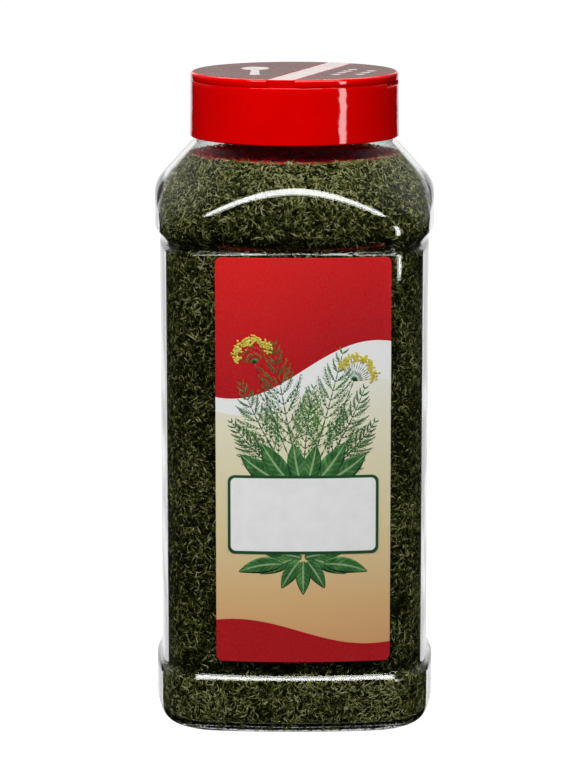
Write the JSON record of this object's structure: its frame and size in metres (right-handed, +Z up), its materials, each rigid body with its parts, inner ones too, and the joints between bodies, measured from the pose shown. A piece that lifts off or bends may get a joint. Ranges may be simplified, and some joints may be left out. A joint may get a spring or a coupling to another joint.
{
  "type": "dried dill spice jar",
  "caption": "Square clear catering jar of dried dill tips, with a bowed labelled front and a round screw cap whose top has a spoon flap and a shaker flap.",
  "frame": {"origin": "centre of the jar's foot, on the surface that it stands on", "axes": "+Z up along the jar's axis, -Y towards the label, +X to the right of the label"},
  "size_m": [0.0892, 0.0892, 0.2054],
  "materials": {
    "clear_jar": "clear gloss",
    "dried_dill": "matte dried leaf",
    "printed_label": "satin print",
    "liner_foam": "matte",
    "red_cap": "gloss"
  },
  "bodies": {
    "jar": {"jar_body": "clear_jar", "dill_fill": "dried_dill", "front_label": "printed_label"},
    "liner": {"cap_liner": "liner_foam"},
    "cap": {"cap_shell": "red_cap"},
    "spoon_lid": {"spoon_flap": "red_cap"},
    "shaker_lid": {"shaker_flap": "red_cap"}
  },
  "joints": [
    {"name": "cap_lift", "type": "slide", "parent": "jar", "child": "liner", "axis": [0, 0, 1], "range_m": [0, 0.004]},
    {"name": "cap_turn", "type": "hinge", "parent": "liner", "child": "cap", "pos_m": [0, 0, 0.195], "axis": [0, 0, 1], "range_deg": [0, 360]},
    {"name": "spoon_flap_hinge", "type": "hinge", "parent": "cap", "child": "spoon_lid", "pos_m": [0.00138, -0.00044, 0.2054], "axis": [0.304, 0.9527, 0], "range_deg": [0, 98]},
    {"name": "shaker_flap_hinge", "type": "hinge", "parent": "cap", "child": "shaker_lid", "pos_m": [0.00929, -0.00296, 0.2054], "axis": [-0.304, -0.9527, 0], "range_deg": [0, 98]}
  ],
  "couplings": [
    {"joint": "cap_lift", "follows": "cap_turn", "m_per_rad": 0.0006366}
  ]
}
